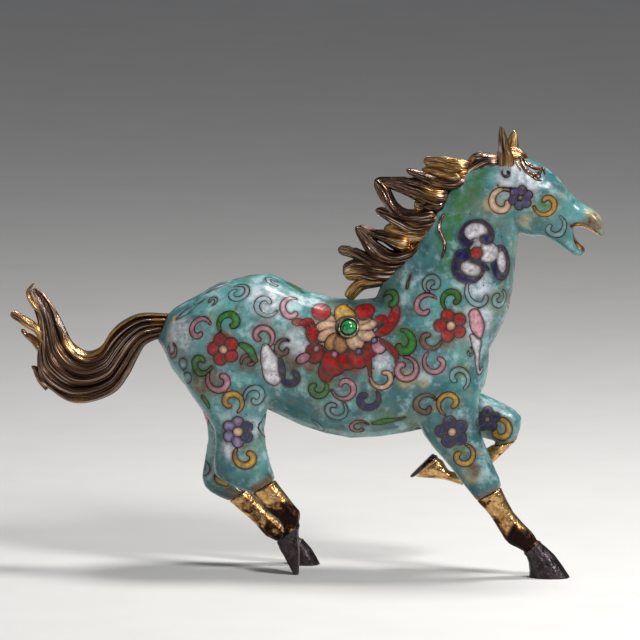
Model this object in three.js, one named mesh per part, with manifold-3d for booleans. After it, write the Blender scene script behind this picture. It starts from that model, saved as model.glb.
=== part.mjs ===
// A running horse in cloisonne enamel, with cast gilt mane, tail, ears and lower legs.
// Millimetres, +X towards the head, +Z up, -Y the horse's right side. The hooves stand on z = 0.
import * as THREE from "three";
import { mergeVertices } from "three/addons/utils/BufferGeometryUtils.js";
import Module from "manifold-3d";

const wasm = await Module();
wasm.setup();

// Driving dimensions
const SEAT_GAP = 0.3;          // clear space between two pieces that meet
const GROUND = { length: 400, depth: 100 };   // block below z = 0 that cuts the soles
const BODY_SIDES = 22;         // corners in a section of barrel, neck and head
const HEAD_SIDES = 16;
const JAW_SIDES = 12;
const LEG_SIDES = 12;
const TURNED_SIDES = 20;       // corners round the stone and the bezel
const SECTION_STEPS = 2;       // rings from one section of a body or a limb to the next
const LOCK_RINGS = 8;          // and along a lock of hair
const FULLNESS = 1.15;         // how far body sections are squarer than an ellipse
const STRANDS = { lock: 4, tail: 9, tip: 4 };       // hair ridges round one lock
const STRAND_DEPTH = 0.16;     // groove depth as a part of the lock's thickness
const TIP_TAPER = { share: 0.88, power: 1.5 };       // thickness lost towards a lock's tip
const ROOT_TAPER = { share: 0.25, power: 6 };        // and at its root, where it dips into the neck
const STONE = {                // tilt in degrees, facing up
  x: 18.6, y: -17.3, z: 99.7, tilt: 28, radius: 3.2, lift: 1.3, rise: 2.4, steps: 5,
};
const BEZEL = { inner: 3.5, outer: 4.3, shoulder: 1.5, height: 2.2 };

// Sections of the enamelled body: [upper x, z, lower x, z, half width across]
const BARREL = [
  [-58, 98.5, -58, 92, 3], [-53, 104.5, -53.5, 80, 13.5], [-43, 110, -43, 69.5, 19],
  [-30, 116, -30, 66.5, 21.5], [-15.5, 119, -15.5, 64.5, 21.5], [-1, 112.5, -1, 58, 20.5],
  [18.5, 109, 18.5, 53.5, 22.5], [40, 112, 40, 56, 22], [54, 112.5, 54.5, 60, 20],
  [64.5, 106.5, 65, 67, 16], [70, 98, 70.5, 74, 10.5], [73, 89, 72.5, 83.5, 2.5],
];
const NECK = [
  [27, 106, 73, 89.5, 18], [30, 116.5, 80.5, 105.5, 16.5], [43, 131.5, 83, 121.5, 12.8],
  [52, 147, 84.5, 135, 10], [62.5, 161, 90, 148, 8.8], [70, 165.5, 90, 155, 8], [76, 166, 86, 160, 5],
];
const HEAD = [
  [75, 164.5, 72.5, 154.5, 5], [79, 167, 77, 146, 8], [88.7, 167, 84.5, 137, 9.3],
  [97.2, 162.4, 94.5, 136, 8.3], [103.9, 154.8, 104, 138.8, 6.2], [108.4, 150.3, 108.5, 140, 5.2],
  [113.2, 147.7, 112.5, 139, 4.8], [117, 144.4, 116, 137, 4.3], [118.2, 140, 118.4, 135.8, 2.8],
];
const JAW = [
  [100, 144, 92, 137, 5.6], [105.6, 140.4, 98, 134.3, 5], [106.6, 136.2, 102.5, 131.4, 4.4],
  [108.6, 133.4, 106, 128.9, 3.7], [110.8, 131.6, 108.6, 128.2, 2.7], [111, 130.3, 110, 128.4, 1.5],
];

// Legs: [rear x, z, front x, z, half width, y of the middle], from the hip to the sole.
// The enamel ends and the gilt casting begins at the section numbered seam.
const LEGS = {
  right_hind: {
    seam: 6,
    sections: [
      [-47, 91, -20, 96, 7, -9], [-49.5, 80, -11.5, 81, 10, -12], [-44.5, 71, -12, 70.5, 9, -13.5],
      [-35.5, 58, -15.5, 58.5, 6.6, -13.5], [-35.5, 43, -13, 44.5, 6, -13.5],
      [-33.5, 38, -11.5, 40.5, 5.8, -13.5], [-20.5, 32.2, -11.2, 38, 4.9, -13.5],
      [-13, 24.5, -3, 27.5, 4.2, -13.5], [-9.5, 22, -1, 25, 4.6, -13.5],
      [-7.5, 17.5, -1.3, 20, 3.8, -13.5], [-10, 12.5, -1.5, 16.5, 4.8, -13.5],
      [-7.5, 7.5, -1, 9.5, 5.2, -13.5], [-2.9, -1, -1.3, -1, 2.2, -13.5],
    ],
  },
  left_hind: {
    seam: 6,
    sections: [
      [-49, 88, -28, 92, 7, 9], [-52, 75, -23.5, 77, 9.5, 12], [-43, 61.5, -25, 60, 7, 13],
      [-40.5, 50, -26.5, 50, 5.8, 13], [-43, 34.5, -28.5, 36.5, 5.4, 13],
      [-39.5, 28.5, -28.5, 33.5, 5, 13], [-32, 25, -24.5, 30, 4.5, 13], [-22, 16.5, -15.5, 21, 3.9, 13],
      [-17, 11, -11, 17, 4.4, 13], [-11, 8.5, -7, 13, 3.8, 13], [-7, 6, -2.5, 10, 4.4, 13],
      [-6.5, 3, 1.5, 6, 5.2, 13], [-6, -1, 5.5, -1, 6, 13],
    ],
  },
  right_fore: {
    seam: 5,
    sections: [
      [46, 84, 66, 88, 6, -10], [43.5, 72, 70, 76, 8, -12], [48, 57, 70, 62, 6.8, -12],
      [56, 47.5, 74.5, 49, 5.8, -11], [64, 37, 78.5, 38.5, 5.4, -10], [69.2, 30.6, 78.8, 36.2, 4.8, -9.6],
      [75, 24, 84, 26, 3.6, -9], [80.5, 15, 91, 18.5, 4.6, -8.5], [83.5, 12.5, 92.5, 16.5, 4.6, -8.3],
      [87.5, 10.5, 94, 14.5, 3.8, -8.1], [90, 6, 100.5, 9, 5.4, -8], [90.5, -1, 107.5, -1, 6.6, -8],
    ],
  },
  left_fore: {
    seam: 4,
    sections: [
      [44, 64, 52, 80, 6, 9], [56, 56, 66, 72, 7.5, 11.5], [73, 52, 78, 67, 5.8, 11],
      [76.5, 51, 85.5, 61.5, 5.2, 11], [73, 49.5, 83.5, 52, 4.6, 11], [68, 46, 73, 41.5, 3.7, 11],
      [62.5, 40.5, 67, 35.5, 3.9, 11], [58, 38.7, 62, 33.6, 4.4, 11], [55.5, 40, 57.5, 35, 3.8, 11],
      [54, 43, 53, 35.8, 4.6, 11], [50, 46, 41, 36.5, 6, 11],
    ],
  },
};

// Locks of hair: path of the middle line [x, z], width seen from the side at each point of
// the path, half thickness across at the root, and how far the tip stands to one side.
const MANE_LOCKS = [
  {
    path: [[66, 163.4], [60, 162.6], [54, 163.2], [46.6, 163.6]],
    width: [4, 8.5, 7.8, 5.5], across: 7, lean: 0,
  },
  {
    path: [[64, 161], [58, 159.5], [52, 160.5], [46, 162]],
    width: [4, 6, 5, 2], across: 7.5, lean: 0,
  },
  {
    path: [[66.5, 160], [60, 157], [52.5, 157.5], [46, 159.5], [39.8, 161.8]],
    width: [6, 6.5, 6, 4, 2.4], across: 8, lean: -1,
  },
  {
    path: [[59, 151], [51.5, 151.5], [45.5, 153.6], [39.5, 155.4], [33, 156.5], [27, 157]],
    width: [9, 9.5, 8, 6.4, 4.2, 2.4], across: 8.5, lean: 1,
  },
  {
    path: [[57, 148.5], [51, 148.5], [46, 149.2], [42.6, 150.2]],
    width: [6, 6.5, 5, 2], across: 8, lean: 0,
  },
  {
    path: [[55, 146], [46.5, 144.5], [39.5, 145], [35, 148], [31.5, 153.5], [27.5, 157.5]],
    width: [6, 6, 5.2, 5.2, 5, 2.4], across: 9, lean: -1,
  },
  {
    path: [[56.5, 143], [50, 140.5], [43, 139.5], [37.5, 141.5], [32.5, 143.5], [27.5, 145.3]],
    width: [7, 7, 6, 5.4, 3.6, 2], across: 8.5, lean: 1,
  },
  {
    path: [[52, 138], [45, 136], [39.5, 135.8], [35.5, 137], [31, 138]],
    width: [7, 7, 7, 5.6, 3], across: 7, lean: 0,
  },
  {
    path: [[50, 133.5], [42.5, 127.8], [35, 126], [27.5, 128.8], [23.5, 134], [19.8, 138.6]],
    width: [8, 6.5, 5, 4.6, 3.6, 2], across: 9, lean: -1,
  },
  {
    path: [[44, 132.2], [38, 133.6], [31, 134.8], [26, 135.8], [20.6, 138.4]],
    width: [7, 5, 3.5, 3, 1.8], across: 7, lean: 1,
  },
  {
    path: [[46.5, 128], [38.5, 124], [31.5, 123.5], [24.5, 125.5], [19, 128], [12.6, 129.2]],
    width: [7.5, 6.5, 5.8, 4.2, 3.6, 2.8], across: 8.5, lean: 1,
  },
  {
    path: [[41, 123], [34.5, 120.5], [27.5, 120.5], [20.5, 121], [14.8, 119.5]],
    width: [7, 8, 8.5, 8, 5.5], across: 8.5, lean: 0,
  },
  {
    path: [[36, 118.5], [28.5, 116.8], [22.5, 115.8], [18.8, 112.8], [16.8, 109.6]],
    width: [4, 4.2, 4.6, 4.4, 3.8], across: 6, lean: -1,
  },
  {
    path: [[79, 166], [72.5, 166], [68.5, 163.5], [65, 160], [61, 154]],
    width: [4, 6, 7.5, 8, 8], across: 7.6, lean: 0,
  },
];
const CREST_CURL = {
  path: [[76.8, 166], [72.3, 167.5], [67.6, 167.7], [64.8, 164.5]],
  width: [4, 4.8, 4.8, 3.4], across: 4.5, lean: 0,
};
const FORELOCK = {
  path: [[78, 166.5], [82, 168.5], [85.3, 168], [88.3, 165.5]],
  width: [6, 6, 5.5, 3], across: 4.5, lean: 0,
};
const EARS = [
  {
    path: [[79.6, 165], [79.2, 171.6], [78.8, 175.2], [78.2, 178.5], [77.7, 180.7]],
    width: [6.6, 5.8, 4.2, 2.4, 0.8], across: 2.6, y: -4.6, lean: -1.4,
  },
  {
    path: [[80.9, 165], [81.2, 170], [81.5, 174], [82, 177.2]],
    width: [5.6, 5, 4, 2.4], across: 2.6, y: 4.6, lean: 1.2,
  },
];

// Sections of the tail, from the rump to the tip: [hollow x, z, outer x, z, half width across]
const TAIL = [
  [-53, 101.8, -53, 92, 4.4], [-56, 102.3, -56, 92.5, 4.6], [-66.3, 102.3, -63.5, 89.5, 5.2],
  [-73.4, 99.3, -67, 84, 5.6], [-78.2, 95.2, -70.5, 77, 5.8], [-82.2, 89.2, -76, 70, 6],
  [-87, 87.2, -85, 66, 6], [-90.8, 88.8, -94, 65.3, 6], [-93.4, 92.2, -102, 68.7, 5.6],
  [-95, 96, -106.8, 74, 5.2], [-97.2, 100, -107.6, 82, 4.6], [-99.6, 103.7, -107.6, 89, 4],
  [-102.4, 107.2, -108, 97.3, 3.2], [-105.4, 110.3, -110.4, 105, 2.4], [-108, 112, -111.4, 109.7, 1],
];
const TAIL_TIPS = [
  {
    path: [[-105, 101.4], [-108.4, 103.7], [-110.8, 107], [-111.6, 109.7], [-110.6, 111.5], [-109, 113.6]],
    width: [3, 2.8, 2.2, 1.8, 1.4, 0.6], across: 2.4, lean: 0,
  },
  {
    path: [[-103, 86.5], [-105.2, 90.6], [-107.6, 94.6], [-111, 96.8], [-114.8, 99.5], [-118.3, 101.4]],
    width: [3.6, 4, 4.2, 4.2, 3.8, 3], across: 3.4, lean: -2,
  },
  {
    path: [[-105, 86], [-107.6, 88.8], [-110, 90.8], [-112.8, 92.8], [-115.4, 95]],
    width: [4, 3.8, 3.2, 2.6, 1.4], across: 3, lean: 2,
  },
  {
    path: [[-102.8, 71.5], [-106, 75.1], [-108.2, 78.3], [-110, 80]],
    width: [4, 4, 2.8, 1], across: 3, lean: 0,
  },
];

// Materials, one for each finish
function finish(color, roughness, metalness) {
  return new THREE.MeshStandardMaterial({ color, roughness, metalness });
}
const turquoiseEnamel = () => finish(0x6eafb4, 0.35, 0);
const giltCasting = () => finish(0x9a6a35, 0.35, 1);
const giltShank = () => finish(0x8a6030, 0.4, 1);

// Solids and geometry
function toSolid(geometry) {
  const bare = geometry.clone();
  for (const name of ["normal", "uv"]) bare.deleteAttribute(name);
  const merged = mergeVertices(bare, 1e-4);
  return new wasm.Manifold(new wasm.Mesh({
    numProp: 3,
    vertProperties: new Float32Array(merged.attributes.position.array),
    triVerts: new Uint32Array(merged.index.array),
  }));
}

function toGeometry(solid) {
  const mesh = solid.getMesh();
  const geometry = new THREE.BufferGeometry();
  geometry.setAttribute("position", new THREE.BufferAttribute(new Float32Array(mesh.vertProperties), 3));
  geometry.setIndex(new THREE.BufferAttribute(new Uint32Array(mesh.triVerts), 1));
  geometry.computeVertexNormals();
  return geometry;
}

const join = (solids) => solids.reduce((whole, solid) => whole.add(solid));

// A smooth curve through vectors, read at even places.
function sampled(vectors, count) {
  return new THREE.CatmullRomCurve3(vectors, false, "catmullrom", 0.5).getPoints(count);
}

// A closed skin through oval rings of equal count, with a fan over each end.
function skin(rings) {
  const sides = rings[0].length;
  const positions = rings.flat().flatMap((point) => point.toArray());
  const index = [];
  for (let ring = 0; ring + 1 < rings.length; ring += 1) {
    for (let side = 0; side < sides; side += 1) {
      const here = ring * sides + side;
      const beside = ring * sides + ((side + 1) % sides);
      index.push(here, beside, here + sides, beside, beside + sides, here + sides);
    }
  }
  for (const [ring, first, second] of [[0, 1, 0], [rings.length - 1, 0, 1]]) {
    const middle = new THREE.Vector3();
    rings[ring].forEach((point) => middle.addScaledVector(point, 1 / sides));
    positions.push(...middle.toArray());
    for (let side = 0; side < sides; side += 1) {
      const pair = [ring * sides + side, ring * sides + ((side + 1) % sides)];
      index.push(positions.length / 3 - 1, pair[first], pair[second]);
    }
  }
  const geometry = new THREE.BufferGeometry();
  geometry.setAttribute("position", new THREE.Float32BufferAttribute(positions, 3));
  geometry.setIndex(index);
  return geometry;
}

// One oval ring: middle, half the outline's width as a vector, and half the width across.
// A fullness over 1 squares the oval a little, as a barrel or a cheek is.
function oval(middle, reach, across, sides, { groove = 0, fullness = 1 } = {}) {
  const full = (value) => Math.sign(value) * Math.abs(value) ** (1 / fullness);
  return Array.from({ length: sides }, (_, side) => {
    const angle = (side / sides) * Math.PI * 2;
    const size = side % 2 ? 1 - groove : 1;
    const offset = new THREE.Vector3(0, across * size * full(Math.sin(angle)), 0);
    return middle.clone().addScaledVector(reach, size * full(Math.cos(angle))).add(offset);
  });
}

// A limb or trunk from its outline sections, grown by margin on every side.
function limb(sections, sides, options = {}) {
  const { margin = 0, groove = 0, fullness = FULLNESS, steps = SECTION_STEPS } = options;
  const count = (sections.length - 1) * steps;
  const upper = sampled(sections.map((s) => new THREE.Vector3(s[0], s[5] ?? 0, s[1])), count);
  const lower = sampled(sections.map((s) => new THREE.Vector3(s[2], s[5] ?? 0, s[3])), count);
  const half = sampled(sections.map((s) => new THREE.Vector3(s[4], 0, 0)), count);
  const rings = upper.map((point, i) => {
    const middle = point.clone().add(lower[i]).multiplyScalar(0.5);
    const reach = point.clone().sub(middle);
    reach.setLength(reach.length() + margin);
    return oval(middle, reach, half[i].x + margin, sides, { groove, fullness });
  });
  return outward(skin(rings));
}

// The rings may run either way round, so the skin is turned until it holds a positive volume.
function outward(geometry) {
  const { position } = geometry.attributes;
  const index = geometry.index.array;
  const [a, b, c] = [0, 0, 0].map(() => new THREE.Vector3());
  let volume = 0;
  for (let i = 0; i < index.length; i += 3) {
    [a, b, c].forEach((corner, k) => corner.fromBufferAttribute(position, index[i + k]));
    volume += a.dot(b.cross(c));
  }
  if (volume < 0) index.reverse();
  return toSolid(geometry);
}

// A tapering lock with one ridge for each strand.
function lock({ path, width, across, lean, y = 0 }, strands) {
  const spine = sampled(path.map(([x, z]) => new THREE.Vector3(x, y, z)), LOCK_RINGS);
  const widths = sampled(width.map((w) => new THREE.Vector3(w, 0, 0)), LOCK_RINGS);
  const last = spine.length - 1;
  const rings = spine.map((point, i) => {
    const along = spine[Math.min(i + 1, last)].clone().sub(spine[Math.max(i - 1, 0)]).normalize();
    const reach = new THREE.Vector3(-along.z, 0, along.x).multiplyScalar(widths[i].x / 2);
    const t = i / last;
    const middle = point.clone().add(new THREE.Vector3(0, lean * t * t, 0));
    const tip = 1 - TIP_TAPER.share * t ** TIP_TAPER.power;
    const half = across * tip * (1 - ROOT_TAPER.share * (1 - t) ** ROOT_TAPER.power);
    return oval(middle, reach, half, strands * 2, { groove: STRAND_DEPTH });
  });
  return outward(skin(rings));
}

// The ground cuts each standing hoof flat.
const groundBlock = new THREE.BoxGeometry(GROUND.length, GROUND.depth, GROUND.depth);
groundBlock.translate(0, 0, -GROUND.depth / 2);
const belowGround = toSolid(groundBlock);

// Splits a leg at its seam. The shank, which holds the hoof, starts a gap further down.
function splitLeg({ seam, sections }) {
  const [last, next] = [sections[seam], sections[seam + 1]];
  const moved = (i) => (next[i] + next[i + 2] - last[i] - last[i + 2]) / 2;
  const step = Math.hypot(moved(0), moved(1));
  const first = last.map((value, i) => value + (next[i] - value) * (SEAT_GAP / step));
  const upper = limb(sections.slice(0, seam + 1), LEG_SIDES);
  const shank = limb([first, ...sections.slice(seam + 1)], LEG_SIDES).subtract(belowGround);
  return { upper, shank };
}

// Body: barrel, neck, head and jaw in one skin with the enamelled part of each leg
const legs = Object.fromEntries(Object.entries(LEGS).map(([name, leg]) => [name, splitLeg(leg)]));
const torsoParts = (margin) => [
  limb(BARREL, BODY_SIDES, { margin }),
  limb(NECK, BODY_SIDES, { margin }),
  limb(HEAD, HEAD_SIDES, { margin }),
  limb(JAW, JAW_SIDES, { margin }),
];
const torso = join([...torsoParts(0), ...Object.values(legs).map((leg) => leg.upper)]);
const torsoClearance = join(torsoParts(SEAT_GAP));

// Mane with the ears and forelock, seated on the crest with real gaps between the locks
const maneSolid = join([
  ...[...MANE_LOCKS, CREST_CURL, FORELOCK].map((spec) => lock(spec, STRANDS.lock)),
  ...EARS.map((spec) => lock(spec, STRANDS.tip)),
]).subtract(torsoClearance);

const tailSolid = join([
  limb(TAIL, STRANDS.tail * 2, { groove: STRAND_DEPTH, fullness: 1, steps: 1 }),
  ...TAIL_TIPS.map((spec) => lock(spec, STRANDS.tip)),
]).subtract(torsoClearance);

// Stone and bezel, turned profiles with their axis across the horse
function turned(profile) {
  const outline = profile.map(([radius, height]) => new THREE.Vector2(radius, height));
  const geometry = new THREE.LatheGeometry(outline, TURNED_SIDES);
  geometry.scale(1, -1, 1);
  geometry.rotateX(-THREE.MathUtils.degToRad(STONE.tilt));
  geometry.translate(STONE.x, STONE.y, STONE.z);
  geometry.index.array.reverse();
  return toSolid(geometry);
}

const domeProfile = [[0, 0], [STONE.radius, 0]];
for (let step = 0; step <= STONE.steps; step += 1) {
  const angle = (step / STONE.steps) * (Math.PI / 2);
  domeProfile.push([STONE.radius * Math.cos(angle), STONE.lift + STONE.rise * Math.sin(angle)]);
}
domeProfile[domeProfile.length - 1][0] = 0;
const bezelProfile = [
  [BEZEL.inner, 0], [BEZEL.outer, 0], [BEZEL.outer, BEZEL.shoulder],
  [BEZEL.inner, BEZEL.height], [BEZEL.inner, 0],
];
const stoneSolid = turned(domeProfile).subtract(torsoClearance);
const bezelSolid = turned(bezelProfile).subtract(torsoClearance);

// Assembly
const horse = new THREE.Group();
function place(name, solid, material) {
  const mesh = new THREE.Mesh(toGeometry(solid), material);
  mesh.name = name;
  horse.add(mesh);
}

place("body", torso, turquoiseEnamel());
place("mane_and_ears", maneSolid, giltCasting());
place("tail", tailSolid, giltCasting());
for (const [name, leg] of Object.entries(legs)) place(`${name}_shank`, leg.shank, giltShank());
place("bezel", bezelSolid, finish(0x8c6a3c, 0.4, 1));
place("cabochon", stoneSolid, finish(0x14783c, 0.12, 0));

// The origin is the middle of the base of the whole figure.
const extent = new THREE.Box3().setFromObject(horse);
const middle = extent.getCenter(new THREE.Vector3());
horse.position.set(-middle.x, -middle.y, -extent.min.z);
horse.updateMatrixWorld(true);

export default horse;
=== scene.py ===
import math

import bmesh
import bpy
import numpy as np
from mathutils import Matrix, Vector
from mathutils.bvhtree import BVHTree


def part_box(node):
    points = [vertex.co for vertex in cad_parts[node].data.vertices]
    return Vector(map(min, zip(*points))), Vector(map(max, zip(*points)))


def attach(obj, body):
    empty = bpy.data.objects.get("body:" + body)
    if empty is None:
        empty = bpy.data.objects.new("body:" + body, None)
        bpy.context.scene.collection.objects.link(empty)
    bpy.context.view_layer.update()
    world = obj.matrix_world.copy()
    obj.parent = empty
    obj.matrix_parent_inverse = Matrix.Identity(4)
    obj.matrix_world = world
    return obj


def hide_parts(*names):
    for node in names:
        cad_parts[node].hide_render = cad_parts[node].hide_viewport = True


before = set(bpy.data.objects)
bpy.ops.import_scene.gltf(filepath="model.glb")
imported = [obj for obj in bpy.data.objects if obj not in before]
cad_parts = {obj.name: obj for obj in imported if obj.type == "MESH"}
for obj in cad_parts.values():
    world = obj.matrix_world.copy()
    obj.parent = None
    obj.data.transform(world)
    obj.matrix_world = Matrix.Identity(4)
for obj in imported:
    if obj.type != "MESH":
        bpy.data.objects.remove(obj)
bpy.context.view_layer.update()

MM = 0.001
tail_low, tail_high = (np.array(corner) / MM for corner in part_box("tail"))
MIDDLE = np.array([0.0, (tail_low[1] + tail_high[1]) / 2, 0.0])   # the plane that halves the horse

# The photograph's view: a long lens, a little above and towards the head
AZIMUTH, ELEVATION, ROLL = math.radians(5), math.radians(8), math.radians(0.35)
PICTURE_SPAN = 256.0          # width of the picture at the horse
PICTURE_CENTRE = (5.6, 99.6)  # across and up, from the point under the horse's middle
CAMERA_DISTANCE = 5000.0
VIEW_RIGHT = np.array([math.cos(AZIMUTH), math.sin(AZIMUTH), 0.0])
VIEW_UP = np.array([-math.sin(AZIMUTH) * math.sin(ELEVATION),
                    math.cos(AZIMUTH) * math.sin(ELEVATION), math.cos(ELEVATION)])
VIEW_FORWARD = np.cross(VIEW_UP, VIEW_RIGHT)


# Meshes as arrays
def read_rows(collection, name, width, kind=np.float32):
    flat = np.empty(len(collection) * width, kind)
    collection.foreach_get(name, flat)
    return flat.reshape(-1, width)


def points_of(mesh):
    return read_rows(mesh.vertices, "co", 3).astype(float) / MM - MIDDLE


def normals_of(mesh):
    return read_rows(mesh.vertices, "normal", 3).astype(float)


def tree_of(mesh, points):
    return BVHTree.FromPolygons([Vector(p) for p in points], [list(p.vertices) for p in mesh.polygons])


def write_points(mesh, points):
    mesh.vertices.foreach_set("co", ((points + MIDDLE) * MM).astype(np.float32).ravel())
    mesh.update()


def write_field(mesh, name, values):
    layer = mesh.attributes.new(name, "FLOAT", "POINT")
    layer.data.foreach_set("value", np.asarray(values, np.float32))


INWARD, OUTWARD = 0.6, -0.63   # steps of the smoothing, as shares of the way to the neighbours


def smoothed(mesh, points, weight, rounds):
    """Evens the surface out: each inward step is followed by an outward one, so nothing shrinks."""
    edges = read_rows(mesh.edges, "vertices", 2, np.int32)
    first, second = edges.T
    neighbours = np.bincount(edges.ravel(), minlength=len(points))[:, None]
    for step in (INWARD, OUTWARD) * rounds:
        total = np.empty_like(points)
        for axis in range(3):
            column = points[:, axis]
            total[:, axis] = np.bincount(first, column[second], len(points))
            total[:, axis] += np.bincount(second, column[first], len(points))
        points = points + step * weight[:, None] * (total / neighbours - points)
    return points


def placed(name, data):
    """A new object in the scene that shows the data."""
    made = bpy.data.objects.new(name, data)
    bpy.context.scene.collection.objects.link(made)
    return made


def add_piece(name, mesh, material, node):
    """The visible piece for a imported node."""
    mesh.materials.append(material)
    for polygon in mesh.polygons:
        polygon.use_smooth = True
    piece = placed(name, mesh)
    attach(piece, "root")
    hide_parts(node)


def fine_skin(node, voxel):
    """The node's surface as small even squares."""
    welded = bmesh.new()
    welded.from_mesh(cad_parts[node].data)
    bmesh.ops.remove_doubles(welded, verts=welded.verts, dist=1e-6)
    mesh = bpy.data.meshes.new(f"{node}_coarse")
    welded.to_mesh(mesh)
    welded.free()
    carrier = placed(f"{node}_carrier", mesh)
    remesh = carrier.modifiers.new("voxels", "REMESH")
    remesh.mode = "VOXEL"
    remesh.voxel_size = voxel * MM
    bpy.context.view_layer.update()
    evaluated = carrier.evaluated_get(bpy.context.evaluated_depsgraph_get())
    fine = bpy.data.meshes.new_from_object(evaluated)
    bpy.data.objects.remove(carrier)
    fine.materials.clear()
    return fine


def distance_to_nodes(points, nodes, reach=6.0):
    """Distance from each point to the nearest of the nodes, up to reach."""
    nearest = np.full(len(points), reach)
    for node in nodes:
        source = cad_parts[node].data
        corners = points_of(source)
        tree = tree_of(source, corners)
        low, high = corners.min(0) - reach, corners.max(0) + reach
        for i in np.nonzero(((points > low) & (points < high)).all(1))[0]:
            found = tree.find_nearest(Vector(points[i]), reach)
            if found[0] is not None:
                nearest[i] = min(nearest[i], found[3])
    return nearest


def smooth_step(low, high, value):
    t = np.clip((value - low) / (high - low), 0, 1)
    return t * t * (3 - 2 * t)


def swell(points, normals, centre, spread, height):
    """Pushes the skin out by height round a centre on each flank, or in if height is below 0."""
    for side in (-1, 1) if centre[1] else (1,):
        place = np.array([centre[0], side * abs(centre[1]), centre[2]])
        near = np.exp(-(((points - place) / np.array(spread)) ** 2).sum(1))
        points += normals * (height * near)[:, None]


# The enamelled body
SHANKS = [f"{side}_{end}_shank" for side in ("right", "left") for end in ("fore", "hind")]
BODY_VOXEL = 0.78
LEG_SEAM = (0.5, 2.5)     # nearer the gilt legs than this the skin stays as it is packed
TRUNK_BASE = (56, 68)     # heights between which the legs pass into the trunk
TRUNK_FRONT = (76, 84)    # and how far forward the neck passes into the head
MUSCLES = [   # centre, spread, height
    ((50, 20, 92), (9, 9, 15), 1.3), ((36, 21, 82), (4, 9, 13), -1.1),       # shoulder, girth
    ((44, 17, 68), (6, 7, 6), 0.9), ((64, 14, 108), (5, 8, 10), 0.7),        # elbow, base of the neck
    ((-31, 20, 94), (12, 10, 13), 1.4), ((-8, 19, 84), (5, 9, 9), -2.0),     # thigh, flank hollow
    ((-14, 17, 68), (4, 7, 5), -1.2), ((-25, 17, 70), (7, 8, 8), 0.8),       # stifle fold, stifle
    ((68, 7, 80), (6, 5, 9), 0.9), ((72, 0, 80), (5, 1.6, 10), -1.0),        # breast, breast groove
    ((-47, 12, 96), (5, 7, 10), -0.8), ((56, 11, 132), (5, 6, 16), 0.6),     # buttock hollow, crest
    ((88, 9, 149), (8, 5, 8), 0.9), ((103, 5, 148), (6, 3, 2.6), -0.7),      # cheek, face hollow
    ((93, 7, 161), (3.6, 3, 2.4), -0.8), ((92.6, 7, 160.8), (1.5, 2, 1.3), 1.1),   # eye socket, eye
    ((112.8, 4.6, 143.9), (1.3, 1.6, 0.9), -1.3), ((111.2, 4.4, 145.8), (2, 2, 1), 0.5),   # nostril
    ((-56, 0, 93), (4, 6, 4), 2.2), ((-34, 4, 112), (7, 6, 5), 0.8),         # root of the tail, croup
    ((-35, 17, 46), (3, 5, 4), 0.6), ((-22, 17, 46), (3, 6, 8), -0.5),       # hock
    ((72, 14, 42), (4, 5, 4), 0.5), ((58, 16, 52), (4, 6, 6), 0.4),          # knee, forearm
    ((77.3, 15, 39), (2.5, 6, 3), 0.8),                                      # front of the knee
]


def build_body_skin():
    mesh = fine_skin("body", BODY_VOXEL)
    points = points_of(mesh)
    to_legs = distance_to_nodes(points, SHANKS)
    seam = smooth_step(*LEG_SEAM, to_legs)
    trunk = smooth_step(*TRUNK_BASE, points[:, 2]) * (1 - smooth_step(*TRUNK_FRONT, points[:, 0]))
    points = smoothed(mesh, points, seam, 8)
    points = smoothed(mesh, points, seam * trunk, 40)
    write_points(mesh, points)
    normals = normals_of(mesh)
    for centre, spread, height in MUSCLES:
        swell(points, normals, centre, spread, height)
    points = smoothed(mesh, points, seam, 2)
    write_points(mesh, points)
    write_field(mesh, "to_legs", to_legs)
    return mesh


# Enamel colours and the cells that the wires enclose
COLOURS = ["red", "cream", "pink", "green", "yellow", "blue", "lilac", "pale", "white", "brown", "tan",
           "violet", "gilt"]


def disc(u0, v0, radius, squash=1.0, turn=0.0):
    """A cell shape: the distance to its edge in millimetres, below 0 inside, over u (to the right) and
    v (up) in the plane that touches the skin."""
    c, s = math.cos(math.radians(turn)), math.sin(math.radians(turn))

    def distance(u, v):
        along = c * (u - u0) + s * (v - v0)
        over = (c * (v - v0) - s * (u - u0)) / squash
        return (np.hypot(along, over) - radius) * min(1.0, squash)
    return distance


def band(path):
    """A ribbon through (u, v, half width) points."""
    knots = np.array(path, float)
    steps = spline(knots, 5 * len(knots))

    def distance(u, v):
        gaps = np.hypot(u[:, None] - steps[:, 0], v[:, None] - steps[:, 1]) - steps[:, 2]
        return gaps.min(1)
    return distance


def scroll(radius, start, sweep, half_width):
    """A comma scroll: a wide tail at start, winding in to a round head."""
    knots = []
    for step in range(17):
        t = step / 16
        angle = math.radians(start + 1.12 * sweep * t)
        reach = radius * (1.04 + 0.18 * (1 - t) ** 3 - 0.58 * t ** 4)
        width = half_width * (0.35 + 0.8 * math.sin(math.pi * (0.05 + 0.7 * t)))
        knots.append((reach * math.cos(angle), reach * math.sin(angle), width))
    return band(knots)


def spline(knots, count):
    """A Catmull-Rom curve through the rows of knots, read at count even steps."""
    knots = np.asarray(knots, float)
    ends = np.vstack([2 * knots[0] - knots[1], knots, 2 * knots[-1] - knots[-2]])
    at = np.linspace(0, len(knots) - 1, count)
    index = np.minimum(at.astype(int), len(knots) - 2)
    t = (at - index)[:, None]
    a, b, c, d = (ends[index + k] for k in range(4))
    return b + 0.5 * t * (c - a + t * (2 * a - 5 * b + 4 * c - d + t * (3 * (b - c) + d - a)))


def flower(outer, centre, petals, distance, petal_radius, centre_radius, turn, facing=None):
    """Round petals about a centre. The petals that face the head may have another colour."""
    cells = []
    for k in range(petals):
        angle = math.radians(turn + 360 * k / petals)
        u, v = distance * math.cos(angle), distance * math.sin(angle)
        cells.append((facing if facing and u > 0.2 * distance else outer, disc(u, v, petal_radius)))
    return [*cells, (centre, disc(0, 0, centre_radius))]


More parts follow.
